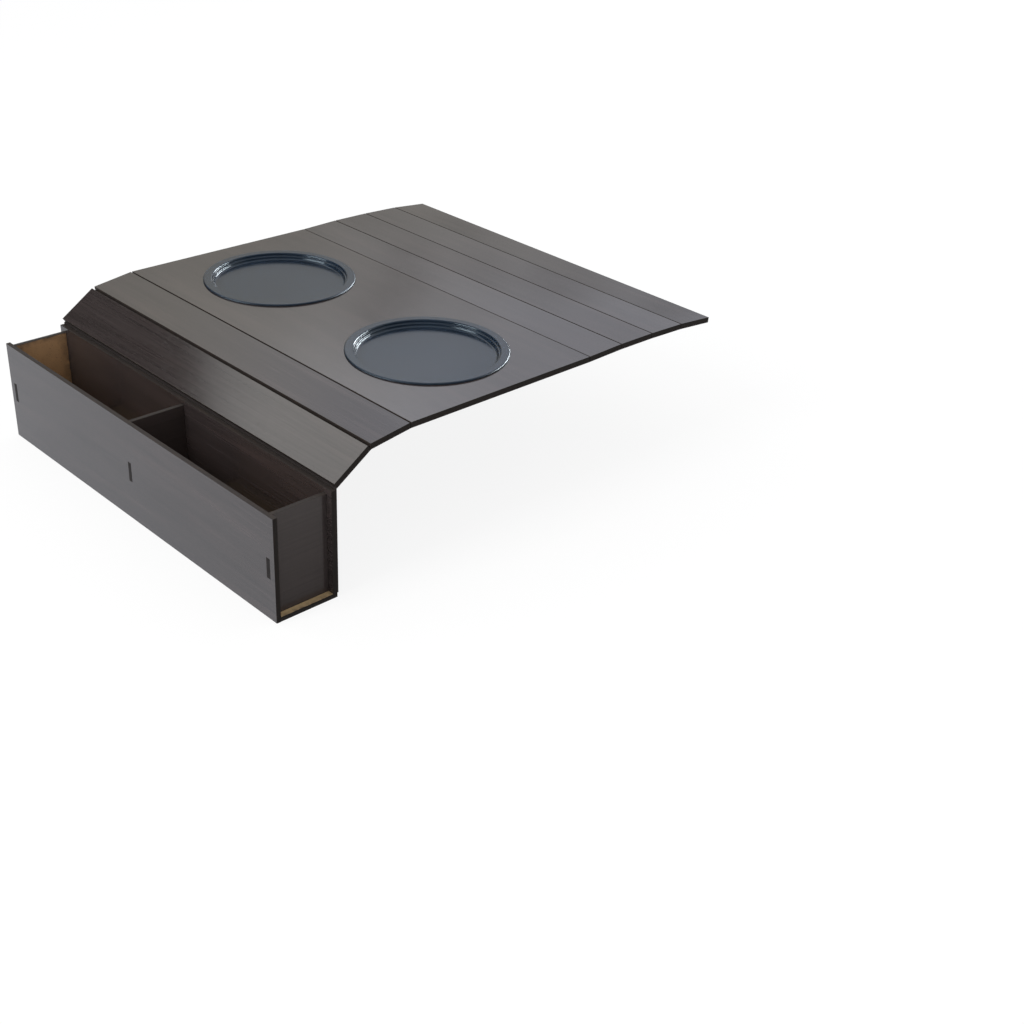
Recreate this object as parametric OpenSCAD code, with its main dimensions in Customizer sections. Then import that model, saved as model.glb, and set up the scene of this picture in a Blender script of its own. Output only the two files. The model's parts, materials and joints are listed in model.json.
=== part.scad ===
// Sofa arm tray: a mat of boards on a fabric backing, two cup dishes and a hanging box.
// X runs along the slats, -Y points to the box, and +Z points up.
// The origin lies on the arm, at the middle of the centre plate's backing.

/* [Mat] */
// Length of the centre plate and of every slat
mat_l = 300; // [275:1:400]
// Width of the centre plate, across the arm
plate_w = 148; // [115:0.5:200]
// Width of one narrow slat
slat_w = 29; // [18:0.5:45]
// Thickness of the board that everything flat is cut from
board_t = 3; // [2:0.5:4]
// Bare strip of backing between two slats when the mat lies flat
slat_gap = 0.6; // [0.6:0.1:3]

/* [Backing] */
// Thickness of the fabric glued under the boards
backing_t = 0.8; // [0.5:0.1:1.2]
// Clearance between a rounded fold edge and the next panel of backing
fold_clear = 0.1; // [0.05:0.05:0.3]

/* [Rest pose] */
// Angle of the fold between the plate and the inner slat of the box side
inner_fold_angle = 8; // [0:1:40]
// Angle of the fold between the inner and the outer slat of the box side
outer_fold_angle = 26; // [0:1:40]
// Angle of the fold between the plate and the first slat of the free side
free_fold_angle_1 = -1.5; // [-5:0.5:30]
// Angle of the fold between the first and the second free slat
free_fold_angle_2 = 2; // [-5:0.5:30]
// Angle of the fold between the second and the third free slat
free_fold_angle_3 = 1.5; // [-5:0.5:30]
// Angle of the fold between the third and the fourth free slat
free_fold_angle_4 = 3; // [-5:0.5:30]

/* [Cup dishes] */
// Outside diameter of a dish's rim
cup_d = 105; // [80:1:130]
// Distance from the end of the plate to the rim of the dish next to it
cup_margin = 19; // [10:0.5:28]
// Distance of the dishes from the plate's middle line, towards the box
cup_offset = 0.2; // [0:0.1:8]
// Thickness of the dish's sheet
cup_t = 0.6; // [0.4:0.1:0.8]
// Height of the rim above the plate
rim_h = 1.3; // [1.2:0.1:2]
// Radius of the rim's turned edge
rim_turn_r = 0.9; // [0.7:0.1:1]
// Width of the rim, from its outer edge to the inner wall
rim_w = 6.1; // [4.5:0.1:12]
// Radius between the rim and the inner wall
lip_r = 1; // [0.8:0.1:1.2]
// Width of the ledge halfway down the wall
ledge_w = 1.3; // [1.2:0.1:3]
// Height of the ledge above the dish's floor
ledge_h = 2.4; // [2.3:0.1:2.7]
// Radius of the ledge's outer corner
ledge_corner_r = 0.8; // [0.8:0.1:0.9]
// Radius of the ledge's inner corner
ledge_root_r = 0.4; // [0.2:0.05:0.5]
// Radius between the dish's floor and its wall
floor_r = 1.5; // [0.8:0.1:1.6]
// Height of the dish's underside above the arm
cup_lift = 0.1; // [0:0.05:0.3]
// Clearance between the dish's wall and its hole in the plate
cup_clear = 0.5; // [0.2:0.1:1.5]

/* [Box] */
// Outside depth of the box, without its backing
box_d = 43; // [30:1:80]
// Height of the front board and of the back board
box_h = 68; // [50:1:110]
// Bare strip of backing between the outer slat and the box
box_gap = 1.6; // [1:0.1:4]
// Distance of the end boards from the ends of the box
end_inset = 4.5; // [1:0.5:20]
// Height of the tabs that join the upright boards
tab_h = 13; // [8:1:30]
// Clearance around a tab in its slot
tab_clear = 0.05; // [0:0.01:0.2]

/* [Hidden] */

// Laminate, bare board, fabric and dish colours
laminate_colour = [0.36, 0.33, 0.31];
front_colour = [0.42, 0.42, 0.43];
bare_board_colour = [0.55, 0.43, 0.27];
fabric_colour = [0.07, 0.07, 0.07];
dish_colour = [0.33, 0.38, 0.42];

// Number of sides of a round hole or dish, of sides of a fold edge, and of steps in a small arc
round_sides = 128;
fold_sides = 24;
arc_steps = 6;
// Overrun of every cut beyond the board that it goes through
cut_over = 1;
// Share of a width at which its middle lies
middle_share = 0.5;

// Height of the fold axes: the middle of the fabric
fold_z = backing_t / 2;
// Radius of the rounded fold edge, which turns about the fold axis
nose_r = backing_t / 2;
// Upper face of the centre plate
plate_top = backing_t + board_t;

// The box hangs upright under the two slats on its side
hang_angle = 90;
box_fold_angle = hang_angle - inner_fold_angle - outer_fold_angle;
box_side_fold_angles = [inner_fold_angle, outer_fold_angle, box_fold_angle];
box_side_gaps = [slat_gap, slat_gap, box_gap];
free_side_fold_angles = [free_fold_angle_1, free_fold_angle_2, free_fold_angle_3, free_fold_angle_4];
free_side_gaps = [slat_gap, slat_gap, slat_gap, slat_gap];

// Radii of the dish, from its outer edge inwards
cup_r = cup_d / 2;
upper_wall_r = cup_r - rim_w;
lower_wall_r = upper_wall_r - ledge_w;
floor_edge_r = lower_wall_r - floor_r;
hole_r = upper_wall_r + cup_t + cup_clear;
// Distance of a dish's centre from the middle of the plate's length
cup_x = mat_l / 2 - cup_margin - cup_r;
// Heights of the dish's upper surface
rim_z = plate_top + rim_h;
floor_z = cup_lift + cup_t;
ledge_z = floor_z + ledge_h;

// Levels of the box, measured down from its fold axis along the back board
back_top = box_gap / 2;
back_foot = back_top + box_h;
front_top = back_top + board_t;
front_foot = front_top + box_h;
tab_middle = front_top + box_h * middle_share;
// Levels of the box, measured out from the fabric's middle
back_rear = backing_t / 2;
back_face = back_rear + board_t;
front_rear = back_rear + box_d - board_t;
front_face = back_rear + box_d;
// Middle planes of the end boards and of the divider along X
end_x = mat_l / 2 - end_inset - board_t / 2;
upright_places = [-end_x, 0, end_x];

// Points of an arc about a centre, from one angle to another
function arc(centre, r, from, to) = [
    for (i = [0 : arc_steps])
        let (a = from + (to - from) * i / arc_steps)
        centre + r * [cos(a), sin(a)]
];

// Tilt of slat k below level, when each slat adds its own fold
function tilt(folds, k) = k < 0 ? 0 : folds[k] + tilt(folds, k - 1);

// Place of fold axis k as distance from the tray's middle and height
function fold_axis(folds, gaps, k) =
    k == 0
    ? [(plate_w + gaps[0]) / 2, fold_z]
    : let (a = tilt(folds, k - 1), reach = slat_w + (gaps[k - 1] + gaps[k]) / 2)
      fold_axis(folds, gaps, k - 1) + reach * [cos(a), -sin(a)];

// Puts children, drawn outwards along +Y from a fold axis, on fold k of a side
module on_fold(folds, gaps, k) {
    place = fold_axis(folds, gaps, k);
    translate([0, place[0], place[1]])
        rotate([-tilt(folds, k), 0, 0])
            children();
}

// The box side is the mirror image, towards -Y
module on_box_side(k) {
    mirror([0, 1, 0])
        on_fold(box_side_fold_angles, box_side_gaps, k)
            children();
}

module on_free_side(k) {
    on_fold(free_side_fold_angles, free_side_gaps, k)
        children();
}

// Board with its middle at x, from y0 to y1 and z0 to z1
module board(x, length, y0, y1, z0, z1) {
    translate([x - length / 2, y0, z0])
        cube([length, y1 - y0, z1 - z0]);
}

// Narrow slat, drawn from its fold axis outwards
module slat(gap) {
    color(laminate_colour)
        board(0, mat_l, gap / 2, gap / 2 + slat_w, backing_t / 2, backing_t / 2 + board_t);
}

// Panel of backing from y0 to y1, with a rounded edge about each fold axis that is listed
module backing_panel(y0, y1, fold_edges) {
    color(fabric_colour)
        rotate([90, 0, 90])
            linear_extrude(mat_l, center = true) {
                translate([y0, -backing_t / 2])
                    square([y1 - y0, backing_t]);
                for (y = fold_edges)
                    translate([y, 0])
                        circle(r = nose_r, $fn = fold_sides);
            }
}

// Backing under a slat: it starts clear of the edge that it folds about and reaches the next fold
module slat_backing(gap, next_gap) {
    next_fold = gap / 2 + slat_w + next_gap / 2;
    backing_panel(nose_r + fold_clear, next_fold, [next_fold]);
}

// Backing under the last slat ends with the slat
module end_backing(gap) {
    backing_panel(nose_r + fold_clear, gap / 2 + slat_w, []);
}

// Holes for both dishes, through a layer from z0 to z1
module cup_holes(z0, z1) {
    for (side = [-1, 1])
        translate([side * cup_x, -cup_offset, z0 - cut_over])
            cylinder(r = hole_r, h = z1 - z0 + 2 * cut_over, $fn = round_sides);
}

module centre_plate() {
    color(laminate_colour)
        difference() {
            board(0, mat_l, -plate_w / 2, plate_w / 2, backing_t, plate_top);
            cup_holes(backing_t, plate_top);
        }
}

module backing_plate() {
    reach = (plate_w + slat_gap) / 2;
    color(fabric_colour)
        difference() {
            translate([0, 0, fold_z])
                backing_panel(-reach, reach, [-reach, reach]);
            cup_holes(0, backing_t);
        }
}

// Dish: upper surface from the middle to the rim, then the underside back to the middle
module cup_dish() {
    floor_c = [floor_edge_r, floor_z + floor_r];
    corner_c = [lower_wall_r + ledge_corner_r, ledge_z - ledge_corner_r];
    root_c = [upper_wall_r - ledge_root_r, ledge_z + ledge_root_r];
    lip_c = [upper_wall_r + lip_r, rim_z - lip_r];
    rim_c = [cup_r - rim_turn_r, rim_z - rim_turn_r];
    color(dish_colour)
        rotate_extrude($fn = round_sides)
            polygon(concat(
                [[0, floor_z]],
                arc(floor_c, floor_r, -90, 0),
                arc(corner_c, ledge_corner_r, 180, 90),
                arc(root_c, ledge_root_r, -90, 0),
                arc(lip_c, lip_r, 180, 90),
                arc(rim_c, rim_turn_r, 90, 0),
                [[cup_r, plate_top], [cup_r - cup_t, plate_top]],
                arc(rim_c, rim_turn_r - cup_t, 0, 90),
                arc(lip_c, lip_r - cup_t, 90, 180),
                arc(root_c, ledge_root_r + cup_t, 0, -90),
                arc(corner_c, ledge_corner_r - cup_t, 90, 180),
                arc(floor_c, floor_r + cup_t, 0, -90),
                [[0, floor_z - cup_t]]
            ));
}

module cup_left() {
    translate([-cup_x, -cup_offset, 0])
        cup_dish();
}

module cup_right() {
    translate([cup_x, -cup_offset, 0])
        cup_dish();
}

module box_side_slat_inner() {
    on_box_side(0)
        slat(slat_gap);
}

module box_side_slat_outer() {
    on_box_side(1)
        slat(slat_gap);
}

module free_side_slat_1() {
    on_free_side(0)
        slat(slat_gap);
}

module free_side_slat_2() {
    on_free_side(1)
        slat(slat_gap);
}

module free_side_slat_3() {
    on_free_side(2)
        slat(slat_gap);
}

module free_side_slat_4() {
    on_free_side(3)
        slat(slat_gap);
}

module backing_box_side_inner() {
    on_box_side(0)
        slat_backing(slat_gap, slat_gap);
}

module backing_box_side_outer() {
    on_box_side(1)
        slat_backing(slat_gap, box_gap);
}

module backing_free_side_1() {
    on_free_side(0)
        slat_backing(slat_gap, slat_gap);
}

module backing_free_side_2() {
    on_free_side(1)
        slat_backing(slat_gap, slat_gap);
}

module backing_free_side_3() {
    on_free_side(2)
        slat_backing(slat_gap, slat_gap);
}

module backing_free_side_4() {
    on_free_side(3)
        end_backing(slat_gap);
}

module backing_box() {
    on_box_side(2)
        backing_panel(nose_r + fold_clear, back_foot, []);
}

// Slots for the tabs of the end boards and of the divider
module tab_slots(z0, z1) {
    for (x = upright_places)
        board(
            x, board_t + 2 * tab_clear,
            tab_middle - tab_h / 2 - tab_clear, tab_middle + tab_h / 2 + tab_clear,
            z0 - cut_over, z1 + cut_over
        );
}

// Upright board across the box, with one tab into the front and one into the back
module upright(x) {
    color(bare_board_colour)
        on_box_side(2)
            union() {
                board(x, board_t, front_top, back_foot, back_face, front_rear);
                board(
                    x, board_t,
                    tab_middle - tab_h / 2, tab_middle + tab_h / 2,
                    back_rear, front_face
                );
            }
}

module box_back() {
    color(laminate_colour)
        on_box_side(2)
            difference() {
                board(0, mat_l, back_top, back_foot, back_rear, back_face);
                tab_slots(back_rear, back_face);
            }
}

module box_front() {
    color(front_colour)
        on_box_side(2)
            difference() {
                board(0, mat_l, front_top, front_foot, front_rear, front_face);
                tab_slots(front_rear, front_face);
            }
}

module box_bottom() {
    color(bare_board_colour)
        on_box_side(2)
            board(0, mat_l, back_foot, front_foot, back_rear, front_rear);
}

module box_end_left() {
    upright(-end_x);
}

module box_end_right() {
    upright(end_x);
}

module box_divider() {
    upright(0);
}

centre_plate();
box_side_slat_inner();
box_side_slat_outer();
free_side_slat_1();
free_side_slat_2();
free_side_slat_3();
free_side_slat_4();
backing_plate();
backing_box_side_inner();
backing_box_side_outer();
backing_box();
backing_free_side_1();
backing_free_side_2();
backing_free_side_3();
backing_free_side_4();
cup_left();
cup_right();
box_back();
box_front();
box_bottom();
box_end_left();
box_end_right();
box_divider();
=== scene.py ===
"""Looks of a folding sofa arm tray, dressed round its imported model.

Every length is in metres. X runs along the slats, -Y points to the hanging box and Z is up.
"""

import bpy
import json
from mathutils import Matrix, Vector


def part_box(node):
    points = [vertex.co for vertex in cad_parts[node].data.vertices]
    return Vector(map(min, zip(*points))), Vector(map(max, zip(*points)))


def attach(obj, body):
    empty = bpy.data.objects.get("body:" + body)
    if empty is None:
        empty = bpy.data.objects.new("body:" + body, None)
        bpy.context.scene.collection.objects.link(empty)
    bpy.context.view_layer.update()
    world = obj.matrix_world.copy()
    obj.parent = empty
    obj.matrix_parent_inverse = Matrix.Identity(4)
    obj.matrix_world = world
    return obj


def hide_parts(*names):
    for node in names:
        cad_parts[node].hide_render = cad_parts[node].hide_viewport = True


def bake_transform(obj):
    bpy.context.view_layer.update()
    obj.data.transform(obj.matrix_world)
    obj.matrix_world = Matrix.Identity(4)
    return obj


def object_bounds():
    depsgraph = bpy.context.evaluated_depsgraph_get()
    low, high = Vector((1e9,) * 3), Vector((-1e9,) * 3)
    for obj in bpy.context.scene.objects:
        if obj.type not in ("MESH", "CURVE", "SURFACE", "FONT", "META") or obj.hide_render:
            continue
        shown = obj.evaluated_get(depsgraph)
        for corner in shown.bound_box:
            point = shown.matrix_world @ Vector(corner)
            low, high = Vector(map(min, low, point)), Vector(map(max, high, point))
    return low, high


bl_info = {
    "name": "Sofa Arm Tray",
    "version": (1, 0, 0),
    "blender": (4, 5, 0),
    "location": "View3D > Sidebar > Sofa Tray",
    "description": "Boards, dishes, backing cloth and stage of a folding sofa arm tray",
    "category": "Object",
}

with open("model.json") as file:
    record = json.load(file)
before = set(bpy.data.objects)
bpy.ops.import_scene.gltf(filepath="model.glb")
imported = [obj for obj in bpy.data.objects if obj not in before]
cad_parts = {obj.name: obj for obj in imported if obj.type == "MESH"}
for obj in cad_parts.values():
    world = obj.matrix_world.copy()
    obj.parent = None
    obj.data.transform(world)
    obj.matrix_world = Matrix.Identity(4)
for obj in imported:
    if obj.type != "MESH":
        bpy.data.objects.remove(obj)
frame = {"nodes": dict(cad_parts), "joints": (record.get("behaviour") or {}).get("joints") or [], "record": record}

import json
import math

import bpy
import numpy as np
from bpy.props import FloatProperty, FloatVectorProperty, PointerProperty
from mathutils import Vector

CAD_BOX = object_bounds()
BODIES = frame["record"]["behaviour"]["bodies"]
JOINTS = {joint["name"]: joint for joint in frame["joints"]}

MAT_BOARDS = (
    "centre_plate", "box_side_slat_inner", "box_side_slat_outer",
    "free_side_slat_1", "free_side_slat_2", "free_side_slat_3", "free_side_slat_4",
)
CUPS = ("cup_left", "cup_right")
UPRIGHTS = ("box_end_left", "box_divider", "box_end_right")

GRAIN_MAP = "grain"
CUT_DISTANCE = "cut_distance"
# A board's material slots: laminated face, long cut edges, bare back, and cut edges at its two ends, which get
# painted shade
FACE, CUT, BACK, END_CUT = range(4)

# Grid lines set in from a cut edge, so that the scorched band has points of its own
GUARDS = np.array([0.0005, 0.0015, 0.004])
GRID_STEP = 0.015
HOLE_CELL_LINES = 33
PLATE_HOLE_MARGIN = 2 * GUARDS[-1]
CLOTH_HOLE_MARGIN = 1.5 * GUARDS[-1]
ROUND_STEPS = 3
NEAR = 1e-6
LENGTHWISE = np.array([1.0, 0.0, 0.0])
MAX_CUT_DISTANCE = 0.006

# Shift of each board's grain map along and across the grain: the first board's, and the step to the next
SLAT_GRAIN = np.array([[0.0, 0.0], [0.37, 0.113]])
BOX_GRAIN = np.array([[0.21, 0.9], [0.41, 0.127]])
UPRIGHT_GRAIN = np.array([[2.7, 0.35], [0.31, 0.17]])


# Settings

class TrayBoardSettings(bpy.types.PropertyGroup):
    """Sizes and colours of the laminated boards"""
    edge_round: FloatProperty(
        name="Edge Rounding", description="Radius at the rim of a cut board",
        default=0.00015, min=0.00005, max=0.0004, unit="LENGTH", precision=5)
    slot_play: FloatProperty(
        name="Slot Play", description="Clearance round a tab in its slot",
        default=0.00005, min=0.0, max=0.0002, unit="LENGTH", precision=5)
    grain_dark: FloatVectorProperty(
        name="Dark Grain", description="Darkest tone of the laminate's grain",
        default=(0.020, 0.0160, 0.0156), size=3, min=0.0, max=1.0, subtype="COLOR")
    grain_mid: FloatVectorProperty(
        name="Middle Grain", description="Main tone of the laminate",
        default=(0.050, 0.0395, 0.0388), size=3, min=0.0, max=1.0, subtype="COLOR")
    grain_red: FloatVectorProperty(
        name="Red Grain", description="Reddish streaks of the laminate",
        default=(0.058, 0.0425, 0.0405), size=3, min=0.0, max=1.0, subtype="COLOR")
    char: FloatVectorProperty(
        name="Char", description="Scorched cut edge",
        default=(0.036, 0.0305, 0.0280), size=3, min=0.0, max=1.0, subtype="COLOR")
    char_brown: FloatVectorProperty(
        name="Brown Char", description="Less scorched patches of a cut edge",
        default=(0.050, 0.037, 0.030), size=3, min=0.0, max=1.0, subtype="COLOR")
    bare: FloatVectorProperty(
        name="Bare Board", description="Uncovered face of the pressed board",
        default=(0.35, 0.205, 0.100), size=3, min=0.0, max=1.0, subtype="COLOR")
    # Painted sheen: a paler, less saturated bare tone for the bottom board's face, standing in for its sheen seen
    # at a grazing angle
    bare_painted_sheen: FloatVectorProperty(
        name="Pale Bare Board", description="Uncovered face of the box's bottom board",
        default=(0.42, 0.30, 0.160), size=3, min=0.0, max=1.0, subtype="COLOR")
    scorch_reach: FloatProperty(
        name="Scorch Reach", description="How far the laminate is darkened beside a cut",
        default=0.0010, min=0.0, max=0.005, unit="LENGTH", precision=5)
    stain_reach: FloatProperty(
        name="Stain Reach", description="How far smoke has stained the bare face beside a cut",
        default=0.0035, min=0.0, max=0.006, unit="LENGTH", precision=5)


class TrayDishSettings(bpy.types.PropertyGroup):
    """Sizes and colours of the two pressed dishes"""
    sheet: FloatProperty(
        name="Sheet", description="Thickness of the pressed sheet",
        default=0.0006, min=0.0003, max=0.001, unit="LENGTH", precision=5)
    rim_width: FloatProperty(
        name="Rim Width", description="From the outer edge to the inner wall",
        default=0.0061, min=0.004, max=0.012, unit="LENGTH", precision=5)
    rim_height: FloatProperty(
        name="Rim Height", description="Height of the rim over the plate",
        default=0.0013, min=0.0012, max=0.002, unit="LENGTH", precision=5)
    rim_turn: FloatProperty(
        name="Turned Edge", description="Radius of the rim's turned edge",
        default=0.0009, min=0.0007, max=0.002, unit="LENGTH", precision=5)
    lip: FloatProperty(
        name="Lip", description="Radius between the rim and the wall",
        default=0.001, min=0.0008, max=0.0015, unit="LENGTH", precision=5)
    ledge_width: FloatProperty(
        name="Ledge Width", description="Width of the step in the wall",
        default=0.0013, min=0.001, max=0.003, unit="LENGTH", precision=5)
    ledge_height: FloatProperty(
        name="Ledge Height", description="Height of the step above the floor",
        default=0.0024, min=0.002, max=0.003, unit="LENGTH", precision=5)
    ledge_corner: FloatProperty(
        name="Ledge Corner", description="Radius of the step's outer corner",
        default=0.0008, min=0.0007, max=0.001, unit="LENGTH", precision=5)
    ledge_root: FloatProperty(
        name="Ledge Root", description="Radius of the step's inner corner",
        default=0.0004, min=0.0002, max=0.0006, unit="LENGTH", precision=5)
    floor_corner: FloatProperty(
        name="Floor Corner", description="Radius between floor and wall",
        default=0.0015, min=0.0008, max=0.002, unit="LENGTH", precision=5)
    enamel: FloatVectorProperty(
        name="Enamel", description="Colour of the dishes' finish",
        default=(0.0080, 0.0135, 0.0230), size=3, min=0.0, max=1.0, subtype="COLOR")
    enamel_worn: FloatVectorProperty(
        name="Worn Enamel", description="Colour where the finish is rubbed",
        default=(0.013, 0.022, 0.036), size=3, min=0.0, max=1.0, subtype="COLOR")
    gloss_tint: FloatVectorProperty(
        name="Gloss Tint", description="Tint of what the dishes mirror",
        default=(0.82, 0.94, 1.0), size=3, min=0.0, max=1.0, subtype="COLOR")


class TrayClothSettings(bpy.types.PropertyGroup):
    """Sizes and colours of the backing cloth"""
    overlap: FloatProperty(
        name="Plate Overlap", description="How far the fold strips reach under the plate",
        default=0.012, min=0.005, max=0.02, unit="LENGTH", precision=4)
    edge_round: FloatProperty(
        name="Edge Rounding", description="Radius at the cloth's cut edge",
        default=0.00012, min=0.00005, max=0.0003, unit="LENGTH", precision=5)
    dark: FloatVectorProperty(
        name="Dark Fibre", description="Darkest fibres of the cloth",
        default=(0.021, 0.0178, 0.0170), size=3, min=0.0, max=1.0, subtype="COLOR")
    light: FloatVectorProperty(
        name="Light Fibre", description="Lightest fibres of the cloth",
        default=(0.046, 0.0385, 0.0365), size=3, min=0.0, max=1.0, subtype="COLOR")


class TrayStageSettings(bpy.types.PropertyGroup):
    """Camera, floor, lamps and the screens that the glossy faces mirror"""
    lens: FloatProperty(
        name="Lens", description="Focal length on a 36 mm sensor, in millimetres",
        default=51.524, min=20.0, max=120.0)
    camera_place: FloatVectorProperty(
        name="Camera", description="Place of the camera",
        default=(0.72108, -0.56420, 0.38044), size=3, subtype="TRANSLATION", unit="LENGTH")
    camera_turn: FloatVectorProperty(
        name="Camera Turn", description="Turn of the camera about X, Y and Z",
        default=(math.radians(60.0087), math.radians(-2.5518), math.radians(46.2539)),
        size=3, subtype="EULER")
    floor_span: FloatProperty(
        name="Floor", description="Width of the floor",
        default=12.0, min=2.0, max=40.0, unit="LENGTH")
    floor_drop: FloatProperty(
        name="Floor Drop", description="Distance of the floor below the box's foot",
        default=0.0001, min=0.0, max=0.5, unit="LENGTH", precision=5)
    floor_colour: FloatVectorProperty(
        name="Floor Colour", description="Colour of the floor",
        default=(0.85, 0.85, 0.85), size=3, min=0.0, max=1.0, subtype="COLOR")
    floor_glow: FloatProperty(
        name="Floor Glow", description="Share of the floor that is seen white even in shadow",
        default=0.86, min=0.0, max=1.0, subtype="FACTOR")
    dome: FloatProperty(
        name="Dome", description="Strength of the light from all round",
        default=0.75, min=0.0, max=3.0)
    key_power: FloatProperty(
        name="Key Power", description="Power of the lamp high on the box's side",
        default=22.0, min=0.0, max=100.0, unit="POWER")
    side_power: FloatProperty(
        name="Side Power", description="Power of the wide lamp over the mat's left end",
        default=3.8, min=0.0, max=100.0, unit="POWER")
    window_power: FloatProperty(
        name="Window Power", description="Power of the window-like lamp behind the tray",
        default=26.0, min=0.0, max=100.0, unit="POWER")
    screen_radius: FloatProperty(
        name="Screen Radius", description="Radius of the two round screens",
        default=2.5, min=1.0, max=5.0, unit="LENGTH")
    screen_height: FloatProperty(
        name="Screen Height", description="Height of the two round screens",
        default=2.9, min=1.0, max=5.0, unit="LENGTH")


# Flat plans and boards

def grid_lines(low, high, extra=()):
    """Even lines from low to high, guard lines set in from both ends, and the extra ones."""
    count = max(1, math.ceil((high - low) / GRID_STEP))
    lines = np.concatenate([np.linspace(low, high, count + 1), low + GUARDS, high - GUARDS, extra])
    return np.unique(np.round(lines[(lines >= low) & (lines <= high)], 8))


def plan_grid(x_lines, y_lines):
    """Points and quads of a flat grid: point i, j is (x_i, y_j), and its quad runs on to i + 1, j + 1."""
    x, y = np.meshgrid(x_lines, y_lines, indexing="ij")
    points = np.stack([x, y], -1).reshape(-1, 2)
    i, j = np.meshgrid(np.arange(len(x_lines) - 1), np.arange(len(y_lines) - 1), indexing="ij")
    first = i * len(y_lines) + j
    along = len(y_lines)
    return points, np.stack([first, first + along, first + along + 1, first + 1], -1).reshape(-1, 4)


def without(points, quads, boxes):
    """The quads whose middle lies in none of the boxes (x0, x1, y0, y1)."""
    middle = points[quads].mean(1)
    kept = np.ones(len(quads), bool)
    for x0, x1, y0, y1 in boxes:
        inside = (middle[:, 0] > x0) & (middle[:, 0] < x1) & (middle[:, 1] > y0) & (middle[:, 1] < y1)
        kept &= ~inside
    return quads[kept]


def plan_with_holes(low, high, centres, radius, margin):
    """Plan of a board with round holes.

    Each hole sits in a square cell of half-width radius + margin. The cell's quads run from rings about the
    hole, at the radius plus each guard distance, out to the grid points on the cell's border.
    """
    half = radius + margin
    cell_lines = [np.linspace(c - half, c + half, HOLE_CELL_LINES) for c in np.asarray(centres).T.ravel()]
    count = len(centres)
    x_lines = grid_lines(low[0], high[0], extra=np.concatenate(cell_lines[:count]))
    y_lines = grid_lines(low[1], high[1], extra=np.concatenate(cell_lines[count:]))
    points, quads = plan_grid(x_lines, y_lines)
    cells = [(x - half, x + half, y - half, y + half) for x, y in centres]
    parts, all_points = [without(points, quads, cells)], [points]
    total = len(points)
    for centre in np.asarray(centres):
        reach = np.abs(points - centre).max(1)
        border = np.flatnonzero(np.abs(reach - half) < NEAR)
        away = points[border] - centre
        border = border[np.argsort(np.arctan2(away[:, 1], away[:, 0]))]
        away = points[border] - centre
        unit = away / np.linalg.norm(away, axis=1, keepdims=True)
        radii = radius + np.concatenate([[0.0], GUARDS])
        rings = centre + unit[None] * radii[:, None, None]
        ids = total + np.arange(len(radii) * len(border)).reshape(len(radii), -1)
        ids = np.vstack([ids, border])
        after = np.roll(ids, -1, axis=1)
        parts.append(np.stack([ids[:-1], ids[1:], after[1:], after[:-1]], -1).reshape(-1, 4))
        all_points.append(rings.reshape(-1, 2))
        total += rings.size // 2
    return np.vstack(all_points), np.vstack(parts)


def cut_distance(points, low, high, slots=(), holes=(), radius=0.0):
    """Distance of each point from the nearest cut edge, up to a limit."""
    found = np.minimum(points - low, high - points).min(1)
    for x0, x1, y0, y1 in slots:
        gap = np.maximum(np.maximum([x0, y0] - points, points - [x1, y1]), 0.0)
        found = np.minimum(found, np.linalg.norm(gap, axis=1))
    for centre in holes:
        found = np.minimum(found, np.linalg.norm(points - centre, axis=1) - radius)
    return np.clip(found, 0.0, MAX_CUT_DISTANCE)


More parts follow.
